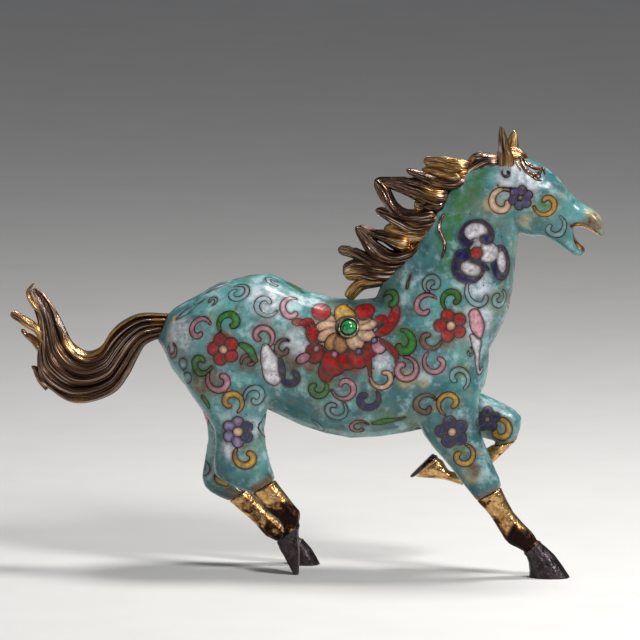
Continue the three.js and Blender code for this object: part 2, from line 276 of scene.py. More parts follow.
def drawn(rows):
    """The cells of a flower: each row is a colour with the path of a ribbon or the values of a disc."""
    return [(colour, band(*shape) if isinstance(shape[0], list) else disc(*shape))
            for colour, *shape in rows]


def petal(colour, angle, reach, length, squash):
    place = math.radians(angle)
    return colour, reach * math.cos(place), reach * math.sin(place), length, squash, angle


# The great flower round the stone: cloud lobes, long petals, pearls, a yellow flame above
LOTUS_PETALS = [   # colour, degrees, distance, half length, squash
    ("cream", 156, 7.6, 3.6, 0.7), ("cream", 178, 7.8, 4.4, 0.58), ("cream", 202, 8.6, 4, 0.62),
    ("tan", 226, 8.2, 3.9, 0.7), ("tan", 252, 7, 3.9, 0.8), ("cream", 298, 6.8, 4.2, 0.85),
    ("cream", 333, 8.4, 4.3, 0.65), ("cream", 2, 7.6, 4.5, 0.6), ("cream", 26, 7.2, 3.8, 0.65),
]
LOTUS = [
    ("red", -19.4, 2.2, 2.4, 0.6, 10), ("red", -15.6, 1.8, 2.6, 0.8), ("red", -13.4, -2.4, 4, 0.75, 100),
    ("red", 13.6, 1.4, 3), ("red", -13, -9.6, 3.9, 0.9), ("red", -8.6, -15.8, 3.2, 1.2),
    ("red", -5.2, -13, 5.4, 0.9), ("red", 0.4, -12.6, 4.2, 0.9), ("red", 4.8, -12, 4.6, 0.9),
    ("red", 9.4, -9.8, 2.8),
    ("red", [(19.4, 5.6, 1.8), (18.4, 2, 2.4), (15.2, -2.2, 2.2), (12.4, -3.6, 1.2)]),
    ("pink", 12.6, -8.4, 3), ("pink", -17.8, -11, 3, 0.55, 12),
    ("red", [(7.4, -11, 1.6), (8.6, -15, 1), (8.6, -18.4, 0.5)]),
    ("red", [(13.6, -6.6, 0.8), (17, -9.2, 1.2), (19.4, -11.8, 1.1), (19.2, -14.6, 0.5)]),
    ("cream", -0.4, -2.4, 8.8, 0.7), *(petal(*row) for row in LOTUS_PETALS),
    ("red", -10.2, 7.2, 3.8, 1.15), ("red", 6.8, 7.2, 4.1, 1.15), ("blue", 13.4, 0, 1.2),
    ("pink", -12.4, -8.2, 1.2), ("pink", -5.2, -10.6, 1.2), ("lilac", 4.4, -10.2, 1.2),
    ("lilac", 10.8, -6.4, 1.2),
    ("yellow", [(-0.8, 5, 4.2), (-1.6, 7.6, 3.4), (-2.2, 9.8, 1.8), (-0.4, 11.8, 0.4)]),
    ("brown", 0, 0, 4.7),
]
PEONY = [   # the large white flower on the neck, its lobes rimmed with dark blue
    ("blue", 0, 6.8, 7, 0.95), ("white", -0.2, 8.4, 4.7, 0.8), ("blue", -3.2, -5.6, 6.7),
    ("white", -2.2, -6.2, 4.4, 0.7, -20), ("blue", 9.6, -3.6, 7, 0.56, 95),
    ("white", 10.2, -3.4, 4.7, 0.4, 95), ("white", 4.6, 0.4, 4.2), ("white", -0.5, 3.2, 2.6),
    ("blue", [(-6.2, 5.8, 1), (-4, 3, 1.2), (-1.8, 4.4, 0.7)]), ("blue", 3.8, 5.4, 2.5, 0.7, -20),
    ("blue", -5.6, -1, 3, 0.85), ("blue", [(-2, -3, 0.8), (2, -4.2, 1.1), (4.6, -6.4, 0.7)]),
    ("red", 0, 0, 2.4),
]
SCROLLS = [   # colour, across and up in the picture, radius, start and sweep in degrees, half width
    ("pink", -42, 95.5, 4, 25, 225, 1.1), ("green", -30.4, 98, 3.7, 216, -224, 1.3),
    ("pale", -27.2, 110.5, 3.6, 110, -300, 1), ("pale", -37.6, 106.7, 1.8, -70, 200, 0.6),
    ("pale", -15.6, 105.4, 3.8, 330, -250, 1), ("pale", -12.8, 115, 2.4, -60, -230, 1),
    ("pink", -17.2, 92.6, 3.7, -75, 255, 1.1), ("pink", -54, 87.4, 2.6, 60, -230, 0.8),
    ("green", -41.2, 81.9, 3.3, -15, -240, 1.2), ("pink", -34.4, 75.6, 4, 150, 233, 1.2),
    ("brown", -22.8, 82.9, 2.4, 200, -250, 0.8), ("yellow", -29.2, 66.4, 3.6, -58, 258, 1.1),
    ("pale", -20, 68.9, 3.4, 190, -275, 1.1), ("yellow", -23.6, 45.3, 3.8, 145, 223, 1.3),
    ("pink", -4.8, 103.9, 4.4, 80, 190, 1.1), ("brown", -8.6, 88.4, 2.8, 60, 240, 0.9),
    ("blue", -6, 77.9, 3.8, 130, 230, 1.2), ("green", 4.8, 72.8, 3.4, 50, -230, 1.2),
    ("pink", 15.2, 72.5, 4, 190, 270, 1), ("blue", 24.8, 68.6, 3.8, 35, -235, 1.3),
    ("pale", 12, 64.1, 3.8, 50, -275, 1), ("pink", 21.6, 57, 3.2, 30, 250, 0.8),
    ("pale", 2.4, 57.2, 4.4, 85, -110, 1), ("cream", 30.4, 77.1, 3.9, 160, 240, 1),
    ("green", 33.2, 107.5, 3.2, 140, -190, 1.3), ("pink", 48, 105.2, 4.1, 40, 215, 1),
    ("green", 58, 107.7, 3.4, 230, -230, 1.1), ("pale", 50, 114.1, 2.8, 250, -290, 1),
    ("green", 38, 90.7, 4.2, 90, -190, 1.6), ("brown", 49.6, 92.5, 3.6, -10, -205, 1),
    ("pink", 51.6, 83.3, 4, 130, 240, 1), ("pale", 60.8, 76.6, 3.6, -60, 240, 1),
    ("pink", 39.6, 80.4, 4, 95, -300, 1.2), ("brown", 48, 66, 3.8, 30, 260, 1),
    ("yellow", 57.2, 66.5, 3.8, 250, -250, 1), ("yellow", 62.8, 46.2, 3.7, 75, -250, 1.1),
    ("pale", 70, 111.1, 5.6, 140, 150, 1), ("pale", 76.8, 108.7, 2.8, 60, -270, 1),
    ("pale", 65.2, 87.4, 1.4, 90, -250, 0.4), ("cream", 78, 147.2, 4.1, 60, 250, 1.3),
    ("yellow", 94.8, 146.1, 3.8, 190, 250, 1), ("pale", 98.4, 137.4, 3.8, 60, -220, 1),
    ("pale", 79.2, 158.4, 1.4, 150, 230, 0.4), ("yellow", 77.4, 56.2, 3.8, 125, -250, 1.2),
    ("pale", -40.4, 39.9, 2, 80, -230, 1),
]
FLOWERS = [   # across, up, cells
    (-32.8, 87.6, flower("red", "cream", 5, 4, 2.7, 1.8, 108)),
    (-26.8, 54.9, flower("lilac", "cream", 6, 4.1, 2.4, 2.1, 90, "blue")),
    (57.6, 97.7, flower("red", "cream", 5, 4.2, 2.6, 1.9, 108)),
    (58.4, 55.4, flower("blue", "cream", 5, 4.1, 2.7, 1.8, 105)),
    (72.8, 60.3, flower("blue", "lilac", 5, 3.2, 2, 1.2, 90)),
    (67.6, 126.6, drawn(PEONY)), (84.8, 148.6, flower("violet", "lilac", 6, 3.1, 1.9, 1.1, 20)),
    (91.8, 157.6, drawn([("brown", 0, 0, 1.2)])), (-48.8, 81.8, drawn([("pale", 0, 0, 2.4, 0.8, 80)])),
    (-47.2, 76.2, drawn([("pale", 0, 0, 2.2)])), (16.4, 97.2, drawn(LOTUS)),
]
STROKES = [   # colour, then points of across, up and half width
    ("white", [(-15.8, 88.8, 1.6), (-15.2, 85.6, 2.8), (-13.6, 81.4, 3.9), (-13, 77.4, 3.6),
               (-12.2, 74.8, 1.8)]),
    ("green", [(-25.6, 89.7, 1), (-22.4, 87.7, 1.6), (-20, 83.3, 1)]),
    ("white", [(-40, 112.5, 0.5), (-34.8, 112.7, 1.4), (-29.4, 112.9, 0.9)]),
    ("brown", [(41.5, 117.5, 0.4), (40.6, 115, 0.5), (40, 112.5, 0.5)]),
    ("pale", [(-53, 102.4, 0.3), (-49, 103.2, 1.3), (-45, 104.4, 0.9), (-40, 105.8, 0.3)]),
    ("green", [(-41.2, 68.3, 0.9), (-39.2, 66.3, 1), (-38.4, 64.3, 0.5)]),
    ("pink", [(-40.4, 61.9, 0.8), (-38.4, 59.9, 1.2), (-36.8, 59.6, 0.4)]),
    ("blue", [(-10, 83.4, 1), (-9.4, 80.4, 1.3), (-9.2, 77.6, 1.2)]),
    ("white", [(64.6, 94, 0.8), (67.2, 91.2, 2.2), (68.4, 87, 1.6), (68.2, 82.6, 1), (69.4, 78.8, 0.8),
               (71.6, 80.4, 0.6)]),
    ("pink", [(66.8, 102.4, 2.4), (68.2, 97.6, 3), (69.4, 93.6, 1.4)]),
    ("green", [(27.2, 58.2, 0.8), (31.2, 59.1, 1.6), (36.8, 60.3, 0.8), (39.6, 61.6, 0.4)]),
    ("pale", [(75.6, 153.9, 0.2), (77.6, 152.4, 0.2), (81.6, 152.4, 0.2), (85.6, 150.8, 0.2)]),
    ("tan", [(102.4, 153.8, 0.4), (105.2, 151, 0.6), (107.6, 149.1, 0.3)]),
    ("green", [(-7.6, 113.5, 0.6), (-4, 112.3, 1.2), (-1.2, 110.3, 0.8)]),
    ("yellow", [(-36.2, 37, 0.4), (-34.6, 34.8, 1.1), (-31.4, 33.6, 0.9)]),
]
STAINS = {   # soft colour that runs under the cells, partly painted highlight in the whitish one: across, up, radius
    "straw": [(116, 140, 5), (113, 142.6, 3), (-54, 92.5, 3), (-53, 99, 2.5), (66.4, 38, 3.6), (73, 146, 3),
              (40, 76, 4), (-43, 73.5, 3), (47, 75, 2.4), (86.5, 139.5, 3)],
    "moss": [(70, 160, 4), (66, 154, 5), (61, 147, 6), (58, 140, 5), (55, 132, 5), (57, 122, 5),
             (20, 108, 4), (94, 145, 4), (60, 100, 5), (6, 75, 6), (62, 80, 4), (40, 92.4, 4.5),
             (61, 48, 3)],
    "earth": [(111.6, 139.4, 2.4), (114.6, 142.4, 1.2), (-23, 82.4, 5), (-41, 75, 7), (-48, 70, 4),
              (115.6, 138.4, 3), (2.4, 82.2, 4.5), (-3.4, 83.4, 4), (10.4, 78.7, 4.5), (17.4, 79.6, 4),
              (67, 40, 3.4), (-14.4, 36, 2.6), (-17, 34, 2.6), (-19.8, 32.4, 2.4), (-7, 84, 6),
              (-30.4, 30.6, 2.5), (-27, 31.6, 2.2), (64, 33.5, 2.5), (-33, 92, 4), (56, 91, 4),
              (68, 119, 3.5)],
    # Whitish patches: milky enamel, and on the forehead and the rump a painted highlight.
    "milk_and_painted_highlight": [(-3, 90, 6), (84, 156, 9), (31, 82.6, 4.5), (68, 100, 7), (-50, 93, 8), (-16, 108, 8),
             (68, 114, 6), (-30, 48, 4), (-21, 57, 4)],
}
TAIL_ROOT, ROOT_RING = np.array([-56.5, 0, 97.4]), 5.9    # the solder round the tail
MOUTH_BACK, MOUTH_FRONT = np.array([101.0, 0, 137.5]), np.array([122.0, 0, 134.5])
FILLER_SEED = 7
FILLER_COLOURS = ["pale", "pink", "pale", "yellow", "pale", "brown"]
FILLER_CLEARANCE = 5.2          # open enamel round a spare scroll
WIRE_CLEARANCE = 0.6
FILLER_TRIES = 6000
FILLER_RADIUS, FILLER_SWEEP = (2.8, 4.0), (240, 300)
FILLER_LOWEST, FILLER_FOREMOST = 58, 84    # spare scrolls keep off the legs and the head
WIRE_REACH = 3.0                # distances are kept up to this far from a cell
STROKE_REACH, FLOWER_REACH, MOUTH_REACH = 14, 25, 9
SEEN = 0.1                      # a cell stays on skin that faces much as its seat does: least cosine
STAND_OFF = 300                 # from here the painter looks at the skin


class Painter:
    """Lays cells on the skin in turn, each over what it covers."""

    def __init__(self, mesh):
        self.points = points_of(mesh)
        self.normals = normals_of(mesh)
        self.tree = tree_of(mesh, self.points)
        self.fields = {colour: np.full(len(self.points), WIRE_REACH) for colour in COLOURS}
        self.wire = np.full(len(self.points), WIRE_REACH)
        self.stains = {name: np.zeros(len(self.points)) for name in STAINS}

    def seat(self, across, up, flank):
        """The point of the skin behind a place in the picture, on the near flank or mirrored."""
        mirror = np.array([1, flank, 1])
        start = (across * VIEW_RIGHT + up * VIEW_UP - STAND_OFF * VIEW_FORWARD) * mirror
        place, normal, _, _ = self.tree.ray_cast(Vector(start), Vector(VIEW_FORWARD * mirror))
        if place is None:
            return None
        return np.array(place), np.array(normal), VIEW_RIGHT * mirror

    def lay(self, seat, cells, reach):
        """Paints the cells, each a colour and a shape, in the plane that touches the skin at the seat."""
        place, normal, right = seat
        near = np.nonzero((np.abs(self.points - place) < reach).all(1))[0]
        near = near[self.normals[near] @ normal > SEEN]
        axis_u = right - normal * (right @ normal)
        axis_u /= np.linalg.norm(axis_u)
        axis_v = np.cross(normal, axis_u)
        axis_v *= 1 if axis_v @ VIEW_UP > 0 else -1
        offset = self.points[near] - place
        u, v = offset @ axis_u, offset @ axis_v
        for colour, shape in cells:
            self.paint(near, colour, shape(u, v))

    def stain(self, name, place, radius):
        gap = ((self.points - place) ** 2).sum(1)
        self.stains[name] = np.maximum(self.stains[name], np.exp(-gap / radius ** 2))

    def gild_mouth(self):
        """Bare gilt on the lips and palate: skin that faces the line through the open mouth."""
        line = MOUTH_FRONT - MOUTH_BACK
        t = np.clip((self.points - MOUTH_BACK) @ line / (line @ line), 0, 1)
        inward = MOUTH_BACK + t[:, None] * line - self.points
        gap = np.linalg.norm(inward, axis=1)
        near = np.nonzero((gap < MOUTH_REACH) & (self.points[:, 0] > MOUTH_BACK[0]))[0]
        facing = (inward[near] / gap[near, None] * self.normals[near]).sum(1)
        self.paint(near, "gilt", 2.5 * (-0.1 - facing))

    def gild_round(self, place, radius):
        gap = np.linalg.norm(self.points - place, axis=1)
        near = np.nonzero(gap < radius + WIRE_REACH)[0]
        self.paint(near, "gilt", gap[near] - radius)

    def paint(self, near, colour, distance):
        """Gives the near points with a distance below 0 to the colour, and takes them from the others."""
        for other, field in self.fields.items():
            if other == colour:
                field[near] = np.minimum(field[near], distance)
            else:
                field[near] = np.maximum(field[near], -distance)
        covered = np.where(distance < 0, WIRE_REACH, self.wire[near])
        self.wire[near] = np.minimum(covered, np.abs(distance))

    def fill(self):
        """Spare scrolls on bare enamel of the back, the belly and the breast that the picture hides."""
        chooser = np.random.default_rng(FILLER_SEED)
        hidden = (np.abs(self.normals[:, 1]) < 0.35) & (self.normals @ VIEW_FORWARD > 0)
        trunk = (self.points[:, 2] > FILLER_LOWEST) & (self.points[:, 0] < FILLER_FOREMOST)
        bare = np.nonzero(hidden & (self.wire >= WIRE_REACH) & trunk)[0]
        chosen = []
        for i in chooser.permutation(bare)[:FILLER_TRIES]:
            place, normal = self.points[i], self.normals[i]
            if self.taken(place, chosen):
                continue
            chosen.append(place)
            right = np.cross(VIEW_UP if abs(normal[2]) < 0.8 else [0, 1, 0], normal)
            radius = chooser.uniform(*FILLER_RADIUS)
            sweep = (1 if chooser.random() < 0.5 else -1) * chooser.uniform(*FILLER_SWEEP)
            colour = FILLER_COLOURS[len(chosen) % len(FILLER_COLOURS)]
            cell = scroll(radius, chooser.uniform(0, 360), sweep, radius * 0.28)
            self.lay((place, normal, right), [(colour, cell)], radius * 1.6)

    def taken(self, place, chosen):
        """Whether another cell or spare scroll is too near the place."""
        near = (np.abs(self.points - place) < FILLER_CLEARANCE).all(1)
        if self.wire[near].min() < WIRE_CLEARANCE:
            return True
        return any(np.linalg.norm(place - other) < 2 * FILLER_CLEARANCE for other in chosen)

    def store(self, mesh):
        write_field(mesh, "wire", self.wire)
        for name, field in (self.fields | self.stains).items():
            write_field(mesh, name, field)


def patterns():
    """Every cell group in the order of laying: across, up, reach, cells."""
    for colour, across, up, radius, *turn, half_width in SCROLLS:
        yield across, up, radius * 1.5 + 2, [(colour, scroll(radius, *turn, half_width))]
    for colour, path in STROKES:
        across, up, _ = path[len(path) // 2]
        yield across, up, STROKE_REACH, [(colour, band([(a - across, b - up, w) for a, b, w in path]))]
    for across, up, cells in FLOWERS:
        yield across, up, FLOWER_REACH, cells


def paint_body(mesh):
    painter = Painter(mesh)
    for flank in (1, -1):
        for across, up, reach, cells in patterns():
            seat = painter.seat(across, up, flank)
            if seat:
                painter.lay(seat, cells, reach)
        for name, places in STAINS.items():
            for across, up, radius in places:
                seat = painter.seat(across, up, flank)
                if seat:
                    painter.stain(name, seat[0], radius)
    painter.fill()
    painter.gild_mouth()
    painter.gild_round(TAIL_ROOT, ROOT_RING)
    painter.store(mesh)
    return painter


# Shader graphs
def linear(colour):
    """Linear red, green and blue from screen values up to 255."""
    scaled = [c / 255 for c in colour]
    return [c / 12.92 if c < 0.04045 else ((c + 0.055) / 1.055) ** 2.4 for c in scaled]


class Graph:
    """Short names for the nodes of one material. Its colours are given as screen values up to 255."""

    def __init__(self, name):
        self.material = bpy.data.materials.new(name)
        self.material.use_nodes = True
        self.tree = self.material.node_tree
        self.shader = self.tree.nodes["Principled BSDF"]
        self.place = self.tree.nodes.new("ShaderNodeTexCoord").outputs["Object"]

    def node(self, kind, output, inputs, **settings):
        """An output of a new node with its inputs set or linked."""
        made = self.tree.nodes.new(f"ShaderNode{kind}")
        for name, value in settings.items():
            setattr(made, name, value)
        for name, value in inputs.items():
            self.feed(made.inputs[name], value)
        return made.outputs[output]

    def feed(self, socket, value):
        if isinstance(value, bpy.types.NodeSocket):
            self.tree.links.new(value, socket)
        elif socket.type == "RGBA":
            socket.default_value = (*linear(value), 1)
        else:
            socket.default_value = value

    def field(self, name):
        return self.node("Attribute", "Fac", {}, attribute_name=name)

    def noise(self, size, detail=3.0, roughness=0.55, lift=0.0, source=None):
        """Noise with features of size millimetres."""
        inputs = {"Vector": source or self.shift(lift), "Scale": 1 / (size * MM), "Detail": detail}
        return self.node("TexNoise", "Fac", inputs | {"Roughness": roughness})

    def shift(self, lift):
        place = (lift, lift * 0.7, lift * 0.3)
        return self.node("Mapping", "Vector", {"Vector": self.place, "Location": place})

    def gather(self, *names):
        """A place on a lock from its fields, in the unit of the streaks."""
        scaled = [self.times(self.field(name), STREAK_UNIT * MM) for name in names]
        return self.node("CombineXYZ", "Vector", dict(zip("XYZ", scaled)))

    def cells(self, size, lift):
        """Distance to scattered points, size millimetres apart."""
        return self.node("TexVoronoi", "Distance", {"Vector": self.shift(lift), "Scale": 1 / (size * MM)})

    def ramp(self, value, low, high, to_low=0.0, to_high=1.0):
        inputs = {"Value": value, "From Min": low, "From Max": high, "To Min": to_low, "To Max": to_high}
        return self.node("MapRange", "Result", inputs, interpolation_type="SMOOTHSTEP")

    def math(self, operation, first, second=0.0):
        return self.node("Math", 0, {0: first, 1: second}, operation=operation)

    def plus(self, first, second):
        return self.math("ADD", first, second)

    def times(self, first, second):
        return self.math("MULTIPLY", first, second)

    def around_zero(self, value, spread):
        """Noise, which lies round a half, moved to lie round 0 and spread out."""
        return self.times(self.math("SUBTRACT", value, 0.5), spread)

    def mix(self, amount, first, second):
        return self.node("MixRGB", "Color", {"Fac": amount, "Color1": first, "Color2": second})

    def bump(self, height, depth, below=None):
        """A normal from a height between 0 and 1 that stands depth millimetres."""
        inputs = {"Height": height, "Distance": depth * MM}
        return self.node("Bump", "Normal", inputs | ({"Normal": below} if below else {}))

    def finish(self, **sockets):
        for name, value in sockets.items():
            self.feed(self.shader.inputs[name.replace("_", " ")], value)
        return self.material


ENAMEL = {   # light and dark of each enamel
    "red": ((176, 18, 16), (70, 8, 12)), "cream": ((222, 190, 162), (160, 116, 90)),
    "pink": ((206, 152, 163), (134, 80, 94)), "green": ((60, 138, 52), (16, 62, 20)),
    "yellow": ((214, 170, 58), (130, 88, 30)), "blue": ((24, 20, 88), (8, 6, 30)),
    "lilac": ((154, 136, 180), (78, 60, 106)), "pale": ((150, 190, 196), (100, 138, 146)),
    "white": ((216, 212, 216), (122, 112, 120)), "brown": ((136, 108, 94), (72, 50, 44)),
    "tan": ((182, 134, 88), (106, 66, 36)), "violet": ((66, 58, 124), (28, 22, 62)),
    "gilt": ((206, 150, 78), (84, 52, 30)),
}
RUNNING = {   # how much of a colour ran past its wires
    "red": 0.5, "green": 0.45, "pink": 0.3, "yellow": 0.3, "white": 0.35, "cream": 0.3, "blue": 0.2,
}
PALE_STRENGTH = 0.5   # pale cells let the ground through
STAIN_COLOURS = {
    # the whitish colour is partly a painted highlight
    "straw": (176, 154, 106), "moss": (58, 110, 52), "earth": (96, 70, 44), "milk_and_painted_highlight": (200, 204, 212),
}
GROUND_CLOUDS = [   # lift, size, from, to, amount, colour
    (0.31, 11, 0.5, 0.66, 0.75, (166, 194, 196)), (1.3, 15, 0.5, 0.66, 0.8, (32, 78, 84)),
    (6.1, 17, 0.52, 0.66, 0.65, (104, 118, 94)), (7.7, 5, 0.54, 0.7, 0.6, (146, 182, 184)),
    (3.9, 4, 0.54, 0.7, 0.6, (46, 82, 88)),
]
WIRE_HALF = 0.18


def enamel_ground(g, blotch):
    """Turquoise that fired unevenly: clouds of grey and deep blue, and the stains run into it, among them
    whitish patches that are partly a painted highlight.
    """
    ground = g.mix(g.ramp(g.noise(26, 3), 0.36, 0.62), (46, 98, 102), (92, 148, 148))
    for lift, size, low, high, amount, tint in GROUND_CLOUDS:
        ground = g.mix(g.ramp(g.noise(size, 4, 0.65, lift), low, high, 0, amount), ground, tint)
    for name, tint in STAIN_COLOURS.items():
        ground = g.mix(g.times(g.ramp(g.field(name), 0.1, 0.8, 0, 0.85), blotch), ground, tint)
    return ground


def enamel_cells(g, colour, wire, grain, mottle, frayed):
    """The cells over the ground: colour that ran past the wires, then each cell, darker at its edge."""
    drift = g.around_zero(g.noise(4, 4, 0.65, 2.6), 9)
    for name, amount in RUNNING.items():
        run = g.ramp(g.plus(g.field(name), drift), 1.4, -0.8, 0, amount)
        colour = g.mix(run, colour, ENAMEL[name][0])
    depth = g.times(g.ramp(grain, 0.25, 0.65, 0.5, 1), g.ramp(wire, 0.1, 1.2, 0.3, 1))
    depth = g.times(depth, g.ramp(mottle, 0.36, 0.58, 0.3, 1))
    body = g.ramp(g.noise(2.4, 4, 0.7, 4.4), 0.34, 0.5, 0.72, 0.98)
    for name, (light, dark) in ENAMEL.items():
        inside = g.ramp(g.plus(g.field(name), frayed), 0.18, -0.18)
        strength = g.times(inside, PALE_STRENGTH if name == "pale" else body)
        colour = g.mix(strength, colour, g.mix(depth, dark, light))
    return colour


def enamel_material():
    g = Graph("cloisonne_enamel")
    patch = g.noise(11, 4, 0.6, 0.31)
    grain = g.noise(1.6, 2, 0.6, 0.77)
    mottle = g.noise(3, 4, 0.7, 8.0)
    blotch = g.ramp(mottle, 0.34, 0.64, 0.3, 1.15)
    frayed = g.around_zero(mottle, 1.3)
    wire = g.field("wire")
    for name in COLOURS:
        wire = g.math("MINIMUM", wire, g.math("ABSOLUTE", g.field(name)))
    colour = enamel_cells(g, enamel_ground(g, blotch), wire, grain, mottle, frayed)
    # Dirt, the scorched rim at the gilt legs, and the brown halo of the wires
    dirt = g.ramp(g.noise(5, 5, 0.75, 5.2), 0.52, 0.72, 0, 0.6)
    dirt = g.plus(dirt, g.ramp(g.field("earth"), 0.3, 1, 0, 0.4))
    colour = g.mix(g.times(dirt, blotch), colour, (80, 62, 44))
    scorch = g.ramp(g.plus(g.field("to_legs"), g.around_zero(mottle, 10)), 3.0, 0.2, 0, 0.85)
    colour = g.mix(scorch, colour, (104, 70, 38))
    halo = g.times(g.ramp(wire, 1.4, 0.1), g.ramp(patch, 0.35, 0.65, 0.15, 0.7))
    colour = g.mix(halo, colour, (74, 60, 50))
    # The wires, fainter where they are worn and over red and blue
    line = g.ramp(g.plus(wire, g.times(grain, 0.12)), WIRE_HALF + 0.14, WIRE_HALF)
    worn = g.times(line, g.ramp(g.noise(4, 3, 0.6, 9.4), 0.36, 0.5, 0.55, 1))
    deep = g.math("MINIMUM", g.field("red"), g.field("blue"))
    worn = g.times(worn, g.ramp(deep, -0.6, 0.5, 0.25, 1))
    colour = g.mix(worn, colour, (36, 22, 20))
    # Pits, in patches
    pit = g.times(g.ramp(g.cells(4.2, 0.5), 0.09, 0.05), g.ramp(g.noise(9, 2, 0.5, 2.1), 0.5, 0.56))
    colour = g.mix(pit, colour, (40, 28, 24))
    # Bare gilt, then the surface
    gilt = g.ramp(g.plus(g.field("gilt"), frayed), 0.08, -0.08)
    gilding, _ = worn_gilding(g, -0.08)
    colour = g.mix(gilt, colour, gilding)
    normal = g.bump(g.noise(14, 2, 0.5, 3.0), 0.6)
    normal = g.bump(g.math("SUBTRACT", g.times(line, 0.6), pit), 0.12, normal)
    normal = g.bump(g.noise(1.4, 4, 0.65, 4.0), 0.09, normal)
    smooth = g.ramp(patch, 0.3, 0.7, 0.2, 0.42)
    rough = g.plus(g.times(g.math("SUBTRACT", 0.5, smooth), line), smooth)   # the wires are duller
    metal = g.math("MAXIMUM", g.times(line, 0.5), gilt)
    return g.finish(Base_Color=colour, Roughness=rough, Normal=normal, Metallic=metal,
                    Specular_IOR_Level=0.4, Coat_Weight=0.12, Coat_Roughness=0.15)


def worn_gilding(g, wear_and_painted_light):
    """Old gilding: bright leaf, brown where it thins, black where it is gone. The last input adds to the
    loss: wear, and on the legs also painted light and shade, brighter gold on the front and darker at the
    back.
    """
    gone = g.plus(g.noise(8, 4, 0.66, 2.0), wear_and_painted_light)
    fine = g.noise(2.4, 4, 0.65, 0.4)
    gold = g.mix(g.ramp(fine, 0.3, 0.68), (166, 118, 68), (232, 192, 132))
    colour = g.mix(g.ramp(gone, 0.44, 0.56), gold, (86, 52, 30))
    return g.mix(g.ramp(gone, 0.53, 0.64), colour, (38, 26, 24)), gone


# Cast hair: locks with ribs along them, flattened in the side view
RIB_SPACING = 1.0
RIB_DEPTH, CREASE_DEPTH = 0.34, 0.9
HALF_WIDTH = 0.56                   # a little over half, for what the grooves take away
TIP_TAPER, ROOT_TAPER = 0.88, 0.9   # shares of a lock's thickness lost at its ends
STREAK_UNIT = 4.0                   # millimetres of streak for each unit of a lock's fields


def ribbed(spine, reach, across, warm=0.0, seed=0, carved=1.0):
    """A ribbed skin round the spine (x, y, z rows). Reach is half its width in the side view, as x, z
    rows. The fields are the place round it and along it, the grooves, the painted shade for the fine
    grooves, and how much gilding is left."""
    chooser = np.random.default_rng(seed)
    t = np.linspace(0, 1, len(spine))[:, None]
    half = np.linalg.norm(reach, axis=1)[:, None]
    across = across[:, None]
    girth = math.pi * math.sqrt(2 * (half.max() ** 2 + across.max() ** 2))
    ribs = max(5, round(girth / RIB_SPACING))
    angle = np.linspace(0, 2 * math.pi, ribs * 4, endpoint=False)[None, :]
    sway = chooser.uniform(0, 6) + 0.9 * np.sin(3 * t + chooser.uniform(0, 6))
    tall = 0.65 + 0.35 * np.sin(angle * chooser.integers(2, 5) + chooser.uniform(0, 6) + t)
    ridge = np.abs(np.sin(ribs / 2 * angle + sway)) ** 0.7
    crease = np.abs(np.sin(1.5 * angle + chooser.uniform(0, 6) + 1.6 * t)) ** 0.5
    local = np.hypot(half * np.cos(angle), across * np.sin(angle))
    sunk = carved * np.minimum(RIB_DEPTH * (1 - ridge * tall) + CREASE_DEPTH * (1 - crease), 0.22 * local)
    size = 1 - sunk / np.maximum(local, 0.1)
    p, q = size * np.cos(angle), size * np.sin(angle)
    points = np.stack([spine[:, :1] + reach[:, :1] * p, spine[:, 1:2] + across * q,
                       spine[:, 2:] + reach[:, 1:] * p], 2)
    flat = np.zeros_like(p)
    # The fine grooves also carry painted shade, which the hair colour darkens nearly to black.
    fields = {"round_p": p, "round_q": q, "along": 0.4 * t + seed * 1.37 + flat, "painted_groove_shade": 1 - ridge,
              "hollow": 1 - crease + flat, "warm": warm + flat}
    return points, fields


def sideways(path):
    """Unit rows at right angles to the path, which is given as x, z rows."""
    along = np.gradient(path, axis=0)
    along /= np.linalg.norm(along, axis=1)[:, None]
    return np.column_stack([-along[:, 1], along[:, 0]])


def evenly(path, count):
    """A curve through the x, z, width rows at even steps of its length, with its sideways reach."""
    dense = spline(path, 200)
    run = np.concatenate([[0], np.cumsum(np.linalg.norm(np.diff(dense[:, :2], axis=0), axis=1))])
    t = np.linspace(0, 1, count)
    x, z, width = (np.interp(t * run[-1], run, column) for column in dense.T)
    blunt = np.sqrt(1 - 0.9 * np.clip((t - 0.93) / 0.07, 0, 1) ** 2)
    half = HALF_WIDTH * np.maximum(width, 0.3) * blunt
    return t, x, z, sideways(np.column_stack([x, z])) * half[:, None]


def thickness(across, t):
    """Half thickness along a lock: it dips into what carries it, and thins to the tip."""
    return across * (1 - TIP_TAPER * t ** 1.5) * (1 - ROOT_TAPER * (1 - t) ** 9)


def lock(path, across, lean, warm, seed=0, rings=48, y=0.0, carved=1.0):
    """A ribbed lock along the path, whose tip leans sideways from the plane at y."""
    t, x, z, reach = evenly(path, rings)
    spine = np.column_stack([x, y + lean * t ** 2, z])
    return ribbed(spine, reach, thickness(across, t), warm, seed, carved)


def ear(path, across, lean, y, opening, warm):
    """A leaf hollowed towards its opening, which is an angle round the ear from the rear."""
    points, fields = lock(path, across, lean, warm, rings=40, y=y, carved=0.35)
    middle = points.mean(1, keepdims=True)
    angle = np.linspace(0, 2 * math.pi, points.shape[1], endpoint=False)[None, :]
    t = np.linspace(0, 1, len(points))[:, None]
    dent = np.exp(-((angle - math.radians(opening)) / 0.7) ** 2) * np.sin(math.pi * t) ** 0.5
    points += 0.75 * dent[:, :, None] * (middle - points)
    # Painted shade in the ear's hollow, laid over the painted shade of its grooves.
    fields["painted_groove_shade"] = np.maximum(0.4 * fields["painted_groove_shade"], 0.62 * dent)
    return points, fields


